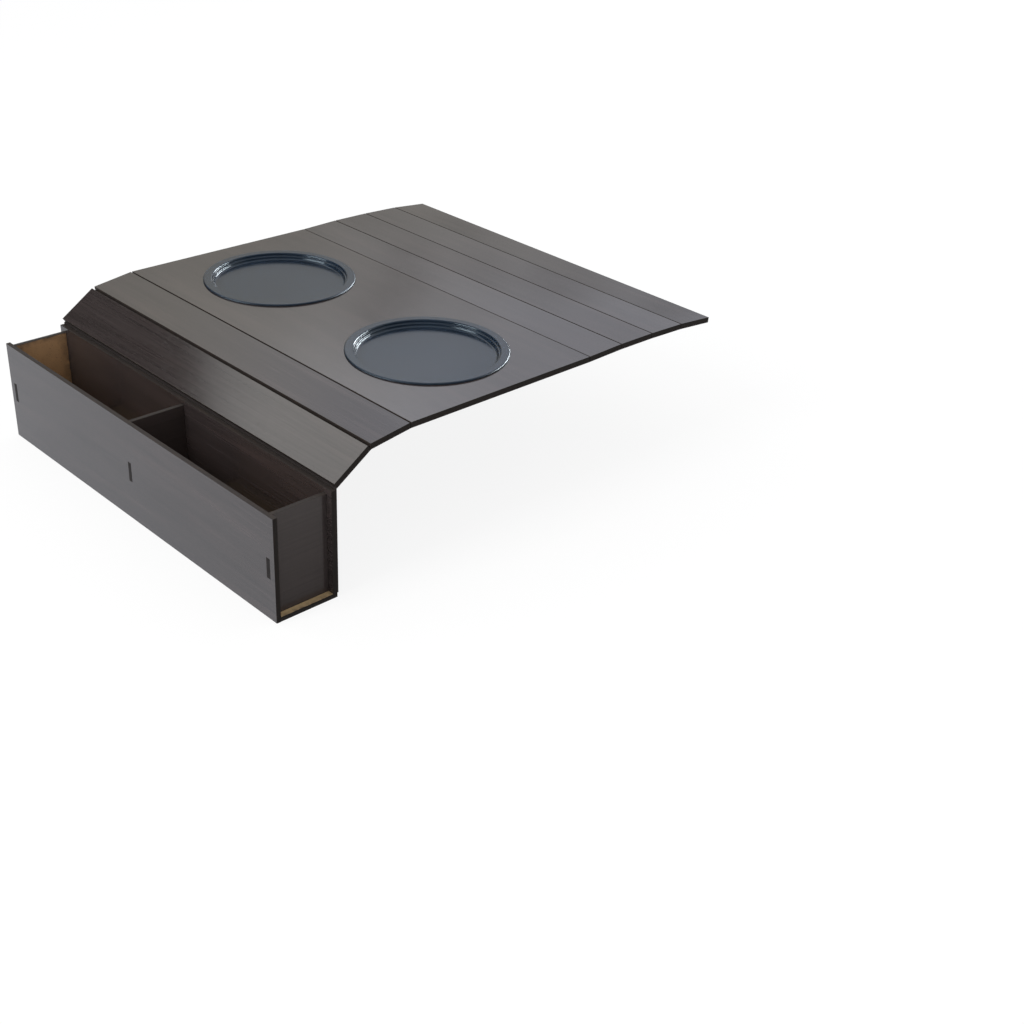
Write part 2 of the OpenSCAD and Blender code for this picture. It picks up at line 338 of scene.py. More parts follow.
def slab(points, quads, low, high, rounding, distance, holes=(), radius=0.0):
    """Closed board between the heights low and high over a flat plan.

    A rim point p with mitred outward normal m gives ring points p - m r (1 - sin a) at the height
    high - r (1 - cos a), for a from 0 to 90 degrees, and the same mirrored at the low face.
    """
    used, quads = np.unique(quads, return_inverse=True)
    quads = quads.reshape(-1, 4)
    points, distance = points[used], distance[used]
    count = len(points)
    edges = np.stack([quads, np.roll(quads, -1, axis=1)], -1).reshape(-1, 2)
    _, first, uses = np.unique(np.sort(edges, axis=1), axis=0, return_index=True, return_counts=True)
    rim_edges = edges[first[uses == 1]]
    step = points[rim_edges[:, 1]] - points[rim_edges[:, 0]]
    step /= np.linalg.norm(step, axis=1, keepdims=True)
    normal = np.stack([step[:, 1], -step[:, 0]], -1)
    total = np.zeros_like(points)
    np.add.at(total, rim_edges[:, 0], normal)
    np.add.at(total, rim_edges[:, 1], normal)
    rim = np.unique(rim_edges)
    mitre = 2 * total[rim] / (total[rim] ** 2).sum(1, keepdims=True)

    turn = np.linspace(0, math.pi / 2, ROUND_STEPS + 1)
    inset = rounding * (1 - np.sin(turn))
    drop = rounding * (1 - np.cos(turn))
    insets = np.concatenate([inset, inset[::-1]])
    heights = np.concatenate([high - drop, low + drop[::-1]])

    face = points.copy()
    face[rim] -= mitre * rounding
    caps = [np.column_stack([face, np.full(count, z)]) for z in (high, low)]
    inner = [
        np.column_stack([points[rim] - mitre * i, np.full(len(rim), z)])
        for i, z in zip(insets[1:-1], heights[1:-1])
    ]
    solid = np.vstack(caps + inner)

    place = np.full(count, -1)
    place[rim] = np.arange(len(rim))
    a, b = place[rim_edges[:, 0]], place[rim_edges[:, 1]]
    levels = [rim] + [2 * count + k * len(rim) + np.arange(len(rim)) for k in range(len(inner))]
    levels.append(count + rim)
    walls = [np.stack([u[a], v[a], v[b], u[b]], -1) for u, v in zip(levels[:-1], levels[1:])]
    faces = np.vstack([quads, quads[:, ::-1] + count] + walls)
    middle = points[rim_edges, 0].mean(1)
    at_end = (middle < points[:, 0].min() + GUARDS[0] / 2) | (middle > points[:, 0].max() - GUARDS[0] / 2)
    wall_kind = np.tile(np.where(at_end, END_CUT, CUT), len(walls))
    kind = np.concatenate([np.repeat([FACE, BACK], len(quads)), wall_kind])

    run = np.zeros((len(rim_edges), 2))
    run[:, 0] = (points[rim_edges[:, 0]] * np.abs(step)).sum(1)
    run[:, 1] = (points[rim_edges[:, 1]] * np.abs(step)).sum(1)
    for centre in holes:
        from_centre = points[rim_edges] - centre
        on_hole = np.abs(np.linalg.norm(from_centre, axis=2) - radius).max(1) < GUARDS[0] / 2
        angle = np.arctan2(from_centre[..., 1], from_centre[..., 0])
        angle[:, 1] = angle[:, 0] + (angle[:, 1] - angle[:, 0] + math.pi) % (2 * math.pi) - math.pi
        run[on_hole] = angle[on_hole] * radius
    wall_maps = [
        np.stack([
            np.column_stack([run[:, 0], np.full(len(run), z0)]),
            np.column_stack([run[:, 0], np.full(len(run), z1)]),
            np.column_stack([run[:, 1], np.full(len(run), z1)]),
            np.column_stack([run[:, 1], np.full(len(run), z0)]),
        ], 1)
        for z0, z1 in zip(heights[:-1], heights[1:])
    ]
    cap_map = face[quads]
    grain = np.vstack([cap_map, cap_map[:, ::-1]] + wall_maps)
    away = np.concatenate([distance, distance, np.zeros(len(rim) * len(inner))])
    return {"points": solid, "faces": faces, "kind": kind, "grain": grain, "away": away}


# Meshes and pieces

def make_mesh(name, points, faces, grain=None, kind=None, away=None, smooth=False):
    """A mesh from arrays.

    Points are (n, 3), faces are lists of point numbers, grain holds a map value for each face corner, kind a
    material slot for each face, and away each point's distance from the nearest cut.
    """
    mesh = bpy.data.meshes.new(name)
    mesh.from_pydata(points.tolist(), [], faces.tolist() if isinstance(faces, np.ndarray) else faces)
    if grain is not None:
        mesh.uv_layers.new(name=GRAIN_MAP).data.foreach_set("uv", np.asarray(grain, np.float32).ravel())
    if kind is not None:
        mesh.polygons.foreach_set("material_index", np.asarray(kind, np.int32))
    if away is not None:
        attribute = mesh.attributes.new(CUT_DISTANCE, "FLOAT", "POINT")
        attribute.data.foreach_set("value", np.asarray(away, np.float32))
    mesh.polygons.foreach_set("use_smooth", np.full(len(mesh.polygons), smooth))
    mesh.update()
    if mesh.validate(clean_customdata=False):
        raise RuntimeError(f"{name}: the mesh had faults")
    return mesh


def make_piece(name, mesh, materials):
    """An object for a mesh, with its material slots filled in order."""
    for material in materials:
        mesh.materials.append(material)
    piece = bpy.data.objects.new(name, mesh)
    bpy.context.scene.collection.objects.link(piece)
    return piece


def body_with(node):
    """The body that a node belongs to."""
    return next(body for body, nodes in BODIES.items() if node in nodes)


def node_points(node):
    """The distinct points of a node's mesh, as an array."""
    mesh = frame["nodes"][node].data
    points = np.zeros(len(mesh.vertices) * 3, np.float32)
    mesh.vertices.foreach_get("co", points)
    return np.unique(np.round(points.reshape(-1, 3).astype(float), 7), axis=0)


def slat_normal(node, outward=0.0):
    """Normal of a slat, up or towards the outside: the short axis of its corners seen from the end."""
    points = node_points(node)[:, 1:]
    _, axes = np.linalg.eigh(np.cov((points - points.mean(0)).T))
    normal = np.array([0.0, *axes[:, 0]])
    return normal * math.copysign(1.0, normal[2] + outward * normal[1])


def board_axes(normal, along=LENGTHWISE):
    """Rows: the grain's direction, the direction across it, and the laminated face's normal."""
    return np.array([along, np.cross(normal, along), normal])


def finish_board(name, node, axes, solid, shift, materials):
    """Turns a slab from its plan into place, shifts its grain, and lets it stand for its node."""
    mesh = make_mesh(
        name, solid["points"] @ axes, solid["faces"],
        grain=solid["grain"] + shift, kind=solid["kind"], away=solid["away"])
    piece = make_piece(name, mesh, materials)
    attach(piece, body_with(node))
    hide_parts(node)


def limits(points, axes):
    """Lowest and highest corner of points along the rows of axes."""
    turned = points @ axes.T
    return turned.min(0), turned.max(0)


# Nodes of the materials

def put(tree, kind, sockets=None, **settings):
    """Adds a node. A socket takes a number or another node's output."""
    node = tree.nodes.new("ShaderNode" + kind)
    for name, value in settings.items():
        setattr(node, name, value)
    for name, value in (sockets or {}).items():
        socket = node.inputs[name]
        if isinstance(value, bpy.types.NodeSocket):
            tree.links.new(value, socket)
        else:
            socket.default_value = value
    return node


def bare_material(name):
    """A material without nodes, and its tree."""
    material = bpy.data.materials.new(name)
    material.use_nodes = True
    material.node_tree.nodes.clear()
    return material, material.node_tree


def new_finish(name):
    """A material, its tree and its Principled shader, which is linked to the output."""
    material, tree = bare_material(name)
    shader = put(tree, "BsdfPrincipled")
    output = put(tree, "OutputMaterial", {"Surface": shader.outputs[0]})
    output.is_active_output = True
    return material, tree, shader


def mixed(tree, factor, first, second):
    """Colour between first and second."""
    node = put(tree, "Mix", data_type="RGBA")
    for index, value in ((0, factor), (6, first), (7, second)):
        if isinstance(value, bpy.types.NodeSocket):
            tree.links.new(value, node.inputs[index])
        elif index == 0:
            node.inputs[index].default_value = value
        else:
            node.inputs[index].default_value = (*value, 1.0)
    return node.outputs[2]


def shader_mix(tree, factor, first, second):
    """Shader between two shader nodes."""
    node = put(tree, "MixShader", {0: factor})
    tree.links.new(first.outputs[0], node.inputs[1])
    tree.links.new(second.outputs[0], node.inputs[2])
    return node


def spread(tree, value, low, high, to_low=0.0, to_high=1.0):
    """A value's range low to high brought to another range, and clamped."""
    return put(tree, "MapRange", {
        "Value": value, "From Min": low, "From Max": high, "To Min": to_low, "To Max": to_high,
    }).outputs[0]


def sum_of(tree, first, second, how="ADD"):
    """Two values joined by a sum, product or other operation."""
    node = put(tree, "Math", operation=how)
    for index, value in enumerate((first, second)):
        if isinstance(value, bpy.types.NodeSocket):
            tree.links.new(value, node.inputs[index])
        else:
            node.inputs[index].default_value = value
    return node.outputs[0]


def noise(tree, place, counts, detail=3.0, rough=0.5, distortion=0.0):
    """Noise with so many features per unit along each axis of the place given."""
    scaled = put(tree, "Mapping", {"Vector": place, "Scale": counts})
    return put(tree, "TexNoise", {
        "Vector": scaled.outputs[0], "Scale": 1.0, "Detail": detail, "Roughness": rough,
        "Distortion": distortion,
    }).outputs[0]


def product_of(tree, first, second):
    """Product of two values."""
    return sum_of(tree, first, second, "MULTIPLY")


def bumped(tree, height, distance, normal=None):
    """Normal for a height of 0 to 1 that stands for the distance given, in metres."""
    sockets = {"Height": height, "Distance": distance}
    if normal is not None:
        sockets["Normal"] = normal
    return put(tree, "Bump", sockets).outputs[0]


# Features of each pattern along the axes of its map: per metre along and across a board or the cloth, or
# per metre of the solid, and for the turning per turn and per metre of the dish's profile
LAMINATE_BANDS = (2.2, 55.0, 1.0)
LAMINATE_STREAKS = (13.0, 520.0, 1.0)
LAMINATE_FIBRES = (45.0, 2400.0, 1.0)
LAMINATE_PORES = (150.0, 2600.0, 1.0)
LAMINATE_REDNESS = (8.0, 90.0, 1.0)
FILM_CLOUDS = (14.0, 22.0, 1.0)
FILM_SWAY = (9.0, 14.0, 1.0)
SCORCH_PATCHES = (260.0, 260.0, 1.0)
CUT_RIDGES = (3300.0, 160.0, 1.0)
CUT_PATCHES = (90.0, 500.0, 1.0)
BARE_MOTTLE = (60.0, 60.0, 1.0)
BARE_FIBRES = (900.0, 1500.0, 1.0)
BARE_SPECKS = (1100.0, 800.0, 1.0)
STAIN_PATCHES = (220.0, 220.0, 1.0)
ENAMEL_PEEL = (420.0, 420.0, 420.0)
ENAMEL_CLOUDS = (24.0, 24.0, 24.0)
ENAMEL_WEAR = (700.0, 700.0, 300.0)
ENAMEL_TURNING = (6.0, 5200.0, 1.0)
CLOTH_FIBRES = (1400.0, 1900.0, 1.0)
CLOTH_MATTING = (150.0, 170.0, 1.0)

# Heights of the surfaces' relief, in metres
SWAY_RELIEF = 0.00025
GRAIN_RELIEF = 0.000006
CUT_RELIEF = 0.00004
BARE_RELIEF = 0.00004
PEEL_RELIEF = 0.0000015
TURNING_RELIEF = 0.0000001
CLOTH_RELIEF = 0.00016

# The values between which most of a noise lies
NOISE = (0.3, 0.7)

# Roughness where the pattern is low and where it is high
FILM_ROUGH = (0.10, 0.15)
CUT_ROUGH = (0.42, 0.62)
BARE_ROUGH = (0.55, 0.70)
ENAMEL_ROUGH = (0.17, 0.22)
CLOTH_ROUGH = (0.86, 0.97)
PORE_ROUGH = 0.06
SCORCH_ROUGH = 0.05
WEAR_ROUGH = 0.08
RIM_ROUGH = 0.18
RIM_REACH = (0.0003, 0.0009)

# Strength of the gloss
CUT_GLOSS = 0.08
BARE_GLOSS = 0.45
ENAMEL_GLOSS = 0.30
CLOTH_GLOSS = 0.05
CLOTH_SHEEN = 0.02
CLOTH_SHEEN_ROUGH = 0.5

# Shares of the laminate's tone, colours and relief
BAND_SHARE, STREAK_SHARE = 0.40, 0.60
PORE_SHARE = 0.7
SCORCH_SHARE = 0.5
FIBRE_RELIEF, PORE_RELIEF = 0.5, -0.5
PLAIN_CONTRAST = 0.3
# Painted shade: how much darker the cut edges at a board's ends are drawn
END_CUT_PAINTED_SHADE = 0.45
PALE_SHADE, DEEP_SHADE = 1.25, 0.62
SPECK_SHARE = 0.5
WEAR_SHARE = 0.25


def laminate_finish(settings, name="tray_laminate", contrast=1.0):
    """Dark wood-grain laminate: long bands, streaks and pores along the board, under a satin film."""
    material, tree, shader = new_finish(name)
    place = put(tree, "UVMap", uv_map=GRAIN_MAP).outputs[0]
    away = put(tree, "Attribute", attribute_name=CUT_DISTANCE).outputs["Fac"]
    bands = noise(tree, place, LAMINATE_BANDS, detail=3.0, distortion=0.35)
    streaks = noise(tree, place, LAMINATE_STREAKS, detail=4.0, rough=0.65, distortion=0.25)
    fibres = noise(tree, place, LAMINATE_FIBRES, detail=2.0)
    pores = spread(tree, noise(tree, place, LAMINATE_PORES, detail=1.0), 0.62, 0.70)
    red = spread(tree, noise(tree, place, LAMINATE_REDNESS, detail=2.0), 0.52, 0.74)

    broad = spread(tree, bands, *NOISE, 0.0, BAND_SHARE)
    narrow = spread(tree, streaks, 0.32, 0.68, 0.0, STREAK_SHARE)
    tone = sum_of(tree, broad, narrow)
    tone = spread(tree, tone, 0.0, 1.0, 0.5 - 0.5 * contrast, 0.5 + 0.5 * contrast)
    colour = mixed(tree, tone, settings.grain_dark, settings.grain_mid)
    red = product_of(tree, product_of(tree, red, tone), contrast)
    colour = mixed(tree, red, colour, settings.grain_red)
    colour = mixed(tree, product_of(tree, pores, PORE_SHARE), colour, settings.char)
    scorch = product_of(
        tree, spread(tree, away, 0.0, settings.scorch_reach, SCORCH_SHARE, 0.0),
        spread(tree, noise(tree, place, SCORCH_PATCHES), *NOISE, 0.6, 1.0))
    colour = mixed(tree, scorch, colour, settings.char)
    tree.links.new(colour, shader.inputs["Base Color"])

    rough = spread(tree, noise(tree, place, FILM_CLOUDS, detail=4.0), *NOISE, *FILM_ROUGH)
    rough = sum_of(tree, rough, product_of(tree, pores, PORE_ROUGH))
    rough = sum_of(tree, rough, product_of(tree, scorch, SCORCH_ROUGH))
    tree.links.new(rough, shader.inputs["Roughness"])

    sway = noise(tree, place, FILM_SWAY, detail=1.0)
    fine = sum_of(tree, product_of(tree, fibres, FIBRE_RELIEF), product_of(tree, pores, PORE_RELIEF))
    fine = sum_of(tree, fine, product_of(tree, streaks, contrast))
    normal = bumped(tree, sway, SWAY_RELIEF)
    tree.links.new(bumped(tree, fine, GRAIN_RELIEF, normal=normal), shader.inputs["Normal"])
    return material


def plain_laminate_finish(settings):
    """The same laminate with a fainter grain, as on the box's upright boards."""
    return laminate_finish(settings, "tray_plain_laminate", PLAIN_CONTRAST)


def cut_finish(settings, name="tray_cut_edge", shade=1.0):
    """Laser-cut edge: scorched, with fine ridges through the thickness and browner patches."""
    # shade darkens both char colours: painted shade on the cut edges at a board's ends
    char, char_brown = ([c * shade for c in tone] for tone in (settings.char, settings.char_brown))
    material, tree, shader = new_finish(name)
    place = put(tree, "UVMap", uv_map=GRAIN_MAP).outputs[0]
    ridges = noise(tree, place, CUT_RIDGES, detail=2.0)
    patches = spread(tree, noise(tree, place, CUT_PATCHES, detail=4.0, rough=0.6), 0.48, 0.72)
    colour = mixed(tree, patches, char, char_brown)
    colour = mixed(tree, spread(tree, ridges, 0.4, 0.7, 0.0, 0.5), colour, char)
    tree.links.new(colour, shader.inputs["Base Color"])
    tree.links.new(spread(tree, ridges, *NOISE, *CUT_ROUGH), shader.inputs["Roughness"])
    tree.links.new(bumped(tree, ridges, CUT_RELIEF), shader.inputs["Normal"])
    shader.inputs["Specular IOR Level"].default_value = CUT_GLOSS
    return material


def end_cut_painted_shade_finish(settings):
    """The same cut edge with painted shade: darker where it runs across the grain, at a board's two ends."""
    return cut_finish(settings, "tray_end_cut_painted_shade", END_CUT_PAINTED_SHADE)


def bare_finish(settings, name="tray_bare_board", bare=None):
    """Bare face of pressed board: short fibres, soft mottling, and smoke stains by the cuts."""
    material, tree, shader = new_finish(name)
    bare = bare or settings.bare
    place = put(tree, "UVMap", uv_map=GRAIN_MAP).outputs[0]
    away = put(tree, "Attribute", attribute_name=CUT_DISTANCE).outputs["Fac"]
    mottle = noise(tree, place, BARE_MOTTLE, detail=4.0)
    fibres = noise(tree, place, BARE_FIBRES, detail=3.0, rough=0.7, distortion=0.8)
    specks = spread(tree, noise(tree, place, BARE_SPECKS, detail=1.0), 0.66, 0.72)
    pale = [min(1.0, c * PALE_SHADE) for c in bare]
    deep = [c * DEEP_SHADE for c in bare]
    colour = mixed(tree, spread(tree, mottle, *NOISE), bare, pale)
    colour = mixed(tree, spread(tree, fibres, 0.55, 0.8, 0.0, 0.7), colour, deep)
    colour = mixed(tree, product_of(tree, specks, SPECK_SHARE), colour, settings.char_brown)
    stain = product_of(
        tree, spread(tree, away, 0.0, settings.stain_reach, 1.0, 0.0),
        spread(tree, noise(tree, place, STAIN_PATCHES, detail=3.0), 0.25, 0.7))
    colour = mixed(tree, stain, colour, settings.char_brown)
    tree.links.new(colour, shader.inputs["Base Color"])
    tree.links.new(spread(tree, mottle, *NOISE, *BARE_ROUGH), shader.inputs["Roughness"])
    tree.links.new(bumped(tree, fibres, BARE_RELIEF), shader.inputs["Normal"])
    shader.inputs["Specular IOR Level"].default_value = BARE_GLOSS
    return material


def bare_painted_sheen_finish(settings):
    """The same bare face, paler and less saturated on the box's bottom board: painted sheen."""
    return bare_finish(settings, "tray_bare_board_painted_sheen", settings.bare_painted_sheen)


def enamel_finish(settings):
    """Dark blue-grey enamel: a faint orange peel, a duller outer edge and fine turned scratches."""
    material, tree, shader = new_finish("tray_enamel")
    away = put(tree, "Attribute", attribute_name=CUT_DISTANCE).outputs["Fac"]
    place = put(tree, "UVMap", uv_map=GRAIN_MAP).outputs[0]
    solid_place = put(tree, "TexCoord").outputs["Object"]
    peel = noise(tree, solid_place, ENAMEL_PEEL, detail=2.0)
    clouds = noise(tree, solid_place, ENAMEL_CLOUDS, detail=2.0)
    turned = noise(tree, place, ENAMEL_TURNING, detail=2.0)
    worn = spread(tree, noise(tree, solid_place, ENAMEL_WEAR, detail=4.0, rough=0.7), 0.62, 0.74)
    colour = mixed(tree, spread(tree, clouds, *NOISE, 0.0, 0.5), settings.enamel, settings.enamel_worn)
    colour = mixed(tree, product_of(tree, worn, WEAR_SHARE), colour, settings.enamel_worn)
    tree.links.new(colour, shader.inputs["Base Color"])
    rough = sum_of(tree, spread(tree, clouds, *NOISE, *ENAMEL_ROUGH), product_of(tree, worn, WEAR_ROUGH))
    rough = sum_of(tree, rough, spread(tree, away, *RIM_REACH, RIM_ROUGH, 0.0))
    tree.links.new(rough, shader.inputs["Roughness"])
    normal = bumped(tree, peel, PEEL_RELIEF)
    tree.links.new(bumped(tree, turned, TURNING_RELIEF, normal=normal), shader.inputs["Normal"])
    shader.inputs["Specular IOR Level"].default_value = ENAMEL_GLOSS
    shader.inputs["Specular Tint"].default_value = (*settings.gloss_tint, 1.0)
    return material


def cloth_finish(settings):
    """Black needled cloth: matted short fibres with a faint sheen."""
    material, tree, shader = new_finish("tray_cloth")
    place = put(tree, "UVMap", uv_map=GRAIN_MAP).outputs[0]
    fibres = noise(tree, place, CLOTH_FIBRES, detail=4.0, rough=0.75, distortion=1.6)
    matting = noise(tree, place, CLOTH_MATTING, detail=4.0, rough=0.6)
    colour = mixed(tree, spread(tree, fibres, 0.4, 0.75), settings.dark, settings.light)
    colour = mixed(tree, spread(tree, matting, 0.35, 0.7, 0.0, 0.35), colour, settings.dark)
    tree.links.new(colour, shader.inputs["Base Color"])
    tree.links.new(spread(tree, matting, *NOISE, *CLOTH_ROUGH), shader.inputs["Roughness"])
    height = sum_of(tree, product_of(tree, fibres, 0.6), product_of(tree, matting, 0.4))
    tree.links.new(bumped(tree, height, CLOTH_RELIEF), shader.inputs["Normal"])
    shader.inputs["Specular IOR Level"].default_value = CLOTH_GLOSS
    shader.inputs["Sheen Weight"].default_value = CLOTH_SHEEN
    shader.inputs["Sheen Roughness"].default_value = CLOTH_SHEEN_ROUGH
    return material


def finish_named(name, settings):
    """A finish made once and shared by every piece that has it."""
    makers = {
        "tray_laminate": laminate_finish, "tray_cut_edge": cut_finish, "tray_bare_board": bare_finish,
        "tray_enamel": enamel_finish, "tray_cloth": cloth_finish,
        "tray_plain_laminate": plain_laminate_finish, "tray_bare_board_painted_sheen": bare_painted_sheen_finish,
        "tray_end_cut_painted_shade": end_cut_painted_shade_finish,
    }
    return bpy.data.materials.get(name) or makers[name](settings)


def board_finishes(settings):
    """Laminated face, cut edge, bare back and end cut with painted shade, in the order of a board's material
    slots.
    """
    names = ("tray_laminate", "tray_cut_edge", "tray_bare_board", "tray_end_cut_painted_shade")
    return [finish_named(name, settings) for name in names]


# Operators

class TRAY_OT_mat_boards(bpy.types.Operator):
    """Makes the centre plate with its two round holes, and the six slats"""
    bl_idname = "sofa_tray.mat_boards"
    bl_label = "Mat Boards"

    def execute(self, context):
        settings = context.scene.tray_boards
        materials = board_finishes(settings)
        for index, node in enumerate(MAT_BOARDS):
            plate = node == "centre_plate"
            normal = np.array([0.0, 0.0, 1.0]) if plate else slat_normal(node)
            axes = board_axes(normal)
            low, high = limits(node_points(node), axes)
            holes, radius = (cup_centres(), hole_radius(node)) if plate else ((), 0.0)
            if plate:
                points, quads = plan_with_holes(low, high, holes, radius, margin=PLATE_HOLE_MARGIN)
            else:
                points, quads = plan_grid(grid_lines(low[0], high[0]), grid_lines(low[1], high[1]))
            away = cut_distance(points, low[:2], high[:2], holes=holes, radius=radius)
            solid = slab(points, quads, low[2], high[2], settings.edge_round, away, holes, radius)
            shift = SLAT_GRAIN[0] + index * SLAT_GRAIN[1]
            finish_board(node + "_board", node, axes, solid, shift, materials)
        return {"FINISHED"}


def cup_centres():
    """Middle of each dish, seen from above."""
    corners = [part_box(cup) for cup in CUPS]
    return np.array([[(low[0] + high[0]) / 2, (low[1] + high[1]) / 2] for low, high in corners])


def hole_radius(node):
    """Radius of the round holes in a node: the least distance of its points from a dish's middle."""
    points = node_points(node)[:, :2]
    return float(min(np.linalg.norm(points - centre, axis=1).min() for centre in cup_centres()))


class TRAY_OT_box_boards(bpy.types.Operator):
    """Makes the box's front, back and bottom boards, with the slots for the tabs"""
    bl_idname = "sofa_tray.box_boards"
    bl_label = "Box Boards"

    def execute(self, context):
        settings = context.scene.tray_boards
        materials, bottom_materials = board_finishes(settings), board_finishes(settings)
        # The bottom board's bare face takes the paler tone of painted sheen
        bottom_materials[BACK] = finish_named("tray_bare_board_painted_sheen", settings)
        normals = {"box_back": (0, -1, 0), "box_front": (0, -1, 0), "box_bottom": (0, 0, -1)}
        for index, (node, normal) in enumerate(normals.items()):
            bottom = node == "box_bottom"
            axes = board_axes(np.array(normal, float))
            low, high = limits(node_points(node), axes)
            slots = [] if bottom else [tab_slot(upright, axes, settings.slot_play) for upright in UPRIGHTS]
            edges = np.array(slots).reshape(-1, 4)
            x_lines = grid_lines(low[0], high[0], extra=guarded(edges[:, 0], edges[:, 1]))
            y_lines = grid_lines(low[1], high[1], extra=guarded(edges[:, 2], edges[:, 3]))
            points, quads = plan_grid(x_lines, y_lines)
            quads = without(points, quads, slots)
            away = cut_distance(points, low[:2], high[:2], slots=slots)
            solid = slab(points, quads, low[2], high[2], settings.edge_round, away)
            shift = BOX_GRAIN[0] + index * BOX_GRAIN[1]
            chosen = bottom_materials if bottom else materials
            finish_board(node + "_board", node, axes, solid, shift, chosen)
        return {"FINISHED"}


def guarded(low, high):
    """The lines low and high, and guard lines outside each pair."""
    pairs = [low, high] + [low - guard for guard in GUARDS[:2]] + [high + guard for guard in GUARDS[:2]]
    return np.concatenate(pairs) if len(low) else np.zeros(0)


def tab_heights(upright):
    """Lowest and highest point of an upright's front tab."""
    points = node_points(upright)
    front = points[points[:, 1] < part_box("box_front")[1][1] - GUARDS[0]]
    return front[:, 2].min(), front[:, 2].max()


def tab_slot(upright, axes, play):
    """Slot (x0, x1, y0, y1) for an upright's tab, in the plan of a board with these axes."""
    low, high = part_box(upright)
    z0, z1 = tab_heights(upright)
    corners = np.array([[low[0], 0.0, z0], [high[0], 0.0, z1]]) @ axes.T
    x0, x1 = sorted(corners[:, 0])
    y0, y1 = sorted(corners[:, 1])
    return x0 - play, x1 + play, y0 - play, y1 + play


class TRAY_OT_uprights(bpy.types.Operator):
    """Makes the box's two end boards and its divider, each with a tab at the front and at the back"""
    bl_idname = "sofa_tray.uprights"
    bl_label = "Uprights"

    def execute(self, context):
        settings = context.scene.tray_boards
        materials = [finish_named("tray_plain_laminate", settings)] + board_finishes(settings)[1:]
        front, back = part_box("box_front")[1][1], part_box("box_back")[0][1]
        for index, node in enumerate(UPRIGHTS):
            side = -1.0 if node == "box_end_left" else 1.0
            axes = board_axes(np.array([side, 0.0, 0.0]), np.array([0.0, 1.0, 0.0]))
            low, high = limits(node_points(node), axes)
            z0, z1 = tab_heights(node)
            tab = sorted((np.array([[0, 0, z0], [0, 0, z1]]) @ axes.T)[:, 1])
            x_lines = grid_lines(low[0], high[0], extra=guarded(np.array([front]), np.array([back])))
            y_lines = grid_lines(low[1], high[1], extra=guarded(np.array(tab[:1]), np.array(tab[1:])))
            points, quads = plan_grid(x_lines, y_lines)
            corners = [
                (x0, x1, y0, y1)
                for x0, x1 in ((low[0], front), (back, high[0]))
                for y0, y1 in ((low[1], tab[0]), (tab[1], high[1]))
            ]
            quads = without(points, quads, corners)
            inside_low, inside_high = np.array([front, low[1]]), np.array([back, high[1]])
            away = cut_distance(points, inside_low, inside_high)
            solid = slab(points, quads, low[2], high[2], settings.edge_round, away)
            shift = UPRIGHT_GRAIN[0] + index * UPRIGHT_GRAIN[1]
            finish_board(node + "_board", node, axes, solid, shift, materials)
        return {"FINISHED"}


# Dishes

DISH_SIDES = 192
ARC_POINTS = 9
PROFILE_STEP = 0.006
PROFILE_GUARD = 0.0003
SHORTEST_LINE = 1e-9


def arc(centre, radius, start, stop):
    """Points at centre + radius (cos a, sin a), with a from start to stop in degrees."""
    a = np.radians(np.linspace(start, stop, ARC_POINTS))
    return np.asarray(centre) + radius * np.stack([np.cos(a), np.sin(a)], -1)


def guarded_line(first, last):
    """Points between two profile points: guards near both ends, and steps in between."""
    length = np.linalg.norm(last - first)
    guards = [PROFILE_GUARD, length - PROFILE_GUARD] if length > 4 * PROFILE_GUARD else []
    even = np.linspace(0.0, length, max(1, math.ceil(length / PROFILE_STEP)) + 1)[1:-1]
    even = even[(even > 2 * PROFILE_GUARD) & (even < length - 2 * PROFILE_GUARD)]
    runs = np.unique(np.concatenate([guards, even]))
    return first + (last - first) * (runs / max(length, SHORTEST_LINE))[:, None]


def dish_profile(settings, cup_radius, rim_z, floor_z):
    """Half section of a dish, from the middle of its floor over the rim and back under the floor."""
    wall = cup_radius - settings.rim_width
    lower = wall - settings.ledge_width
    ledge = floor_z + settings.ledge_height
    floor_c = (lower - settings.floor_corner, floor_z + settings.floor_corner)
    corner_c = (lower + settings.ledge_corner, ledge - settings.ledge_corner)
    root_c = (wall - settings.ledge_root, ledge + settings.ledge_root)
    lip_c = (wall + settings.lip, rim_z - settings.lip)
    turn_c = (cup_radius - settings.rim_turn, rim_z - settings.rim_turn)
    t = settings.sheet
    rim_foot = rim_z - settings.rim_height
    bends = [
        arc(floor_c, settings.floor_corner, -90, 0),
        arc(corner_c, settings.ledge_corner, 180, 90),
        arc(root_c, settings.ledge_root, -90, 0),
        arc(lip_c, settings.lip, 180, 90),
        arc(turn_c, settings.rim_turn, 90, 0),
        np.array([[cup_radius, rim_foot]]),
        np.array([[cup_radius - t, rim_foot]]),
        arc(turn_c, settings.rim_turn - t, 0, 90),
        arc(lip_c, settings.lip - t, 90, 180),
        arc(root_c, settings.ledge_root + t, 0, -90),
        arc(corner_c, settings.ledge_corner - t, 90, 180),
        arc(floor_c, settings.floor_corner + t, 0, -90),
    ]
    ends = [np.array([[0.0, floor_z]])] + bends + [np.array([[0.0, floor_z - t]])]
    parts = []
    for here, after in zip(ends[:-1], ends[1:]):
        parts += [here, guarded_line(here[-1], after[0])]
    return np.vstack(parts + [ends[-1]])


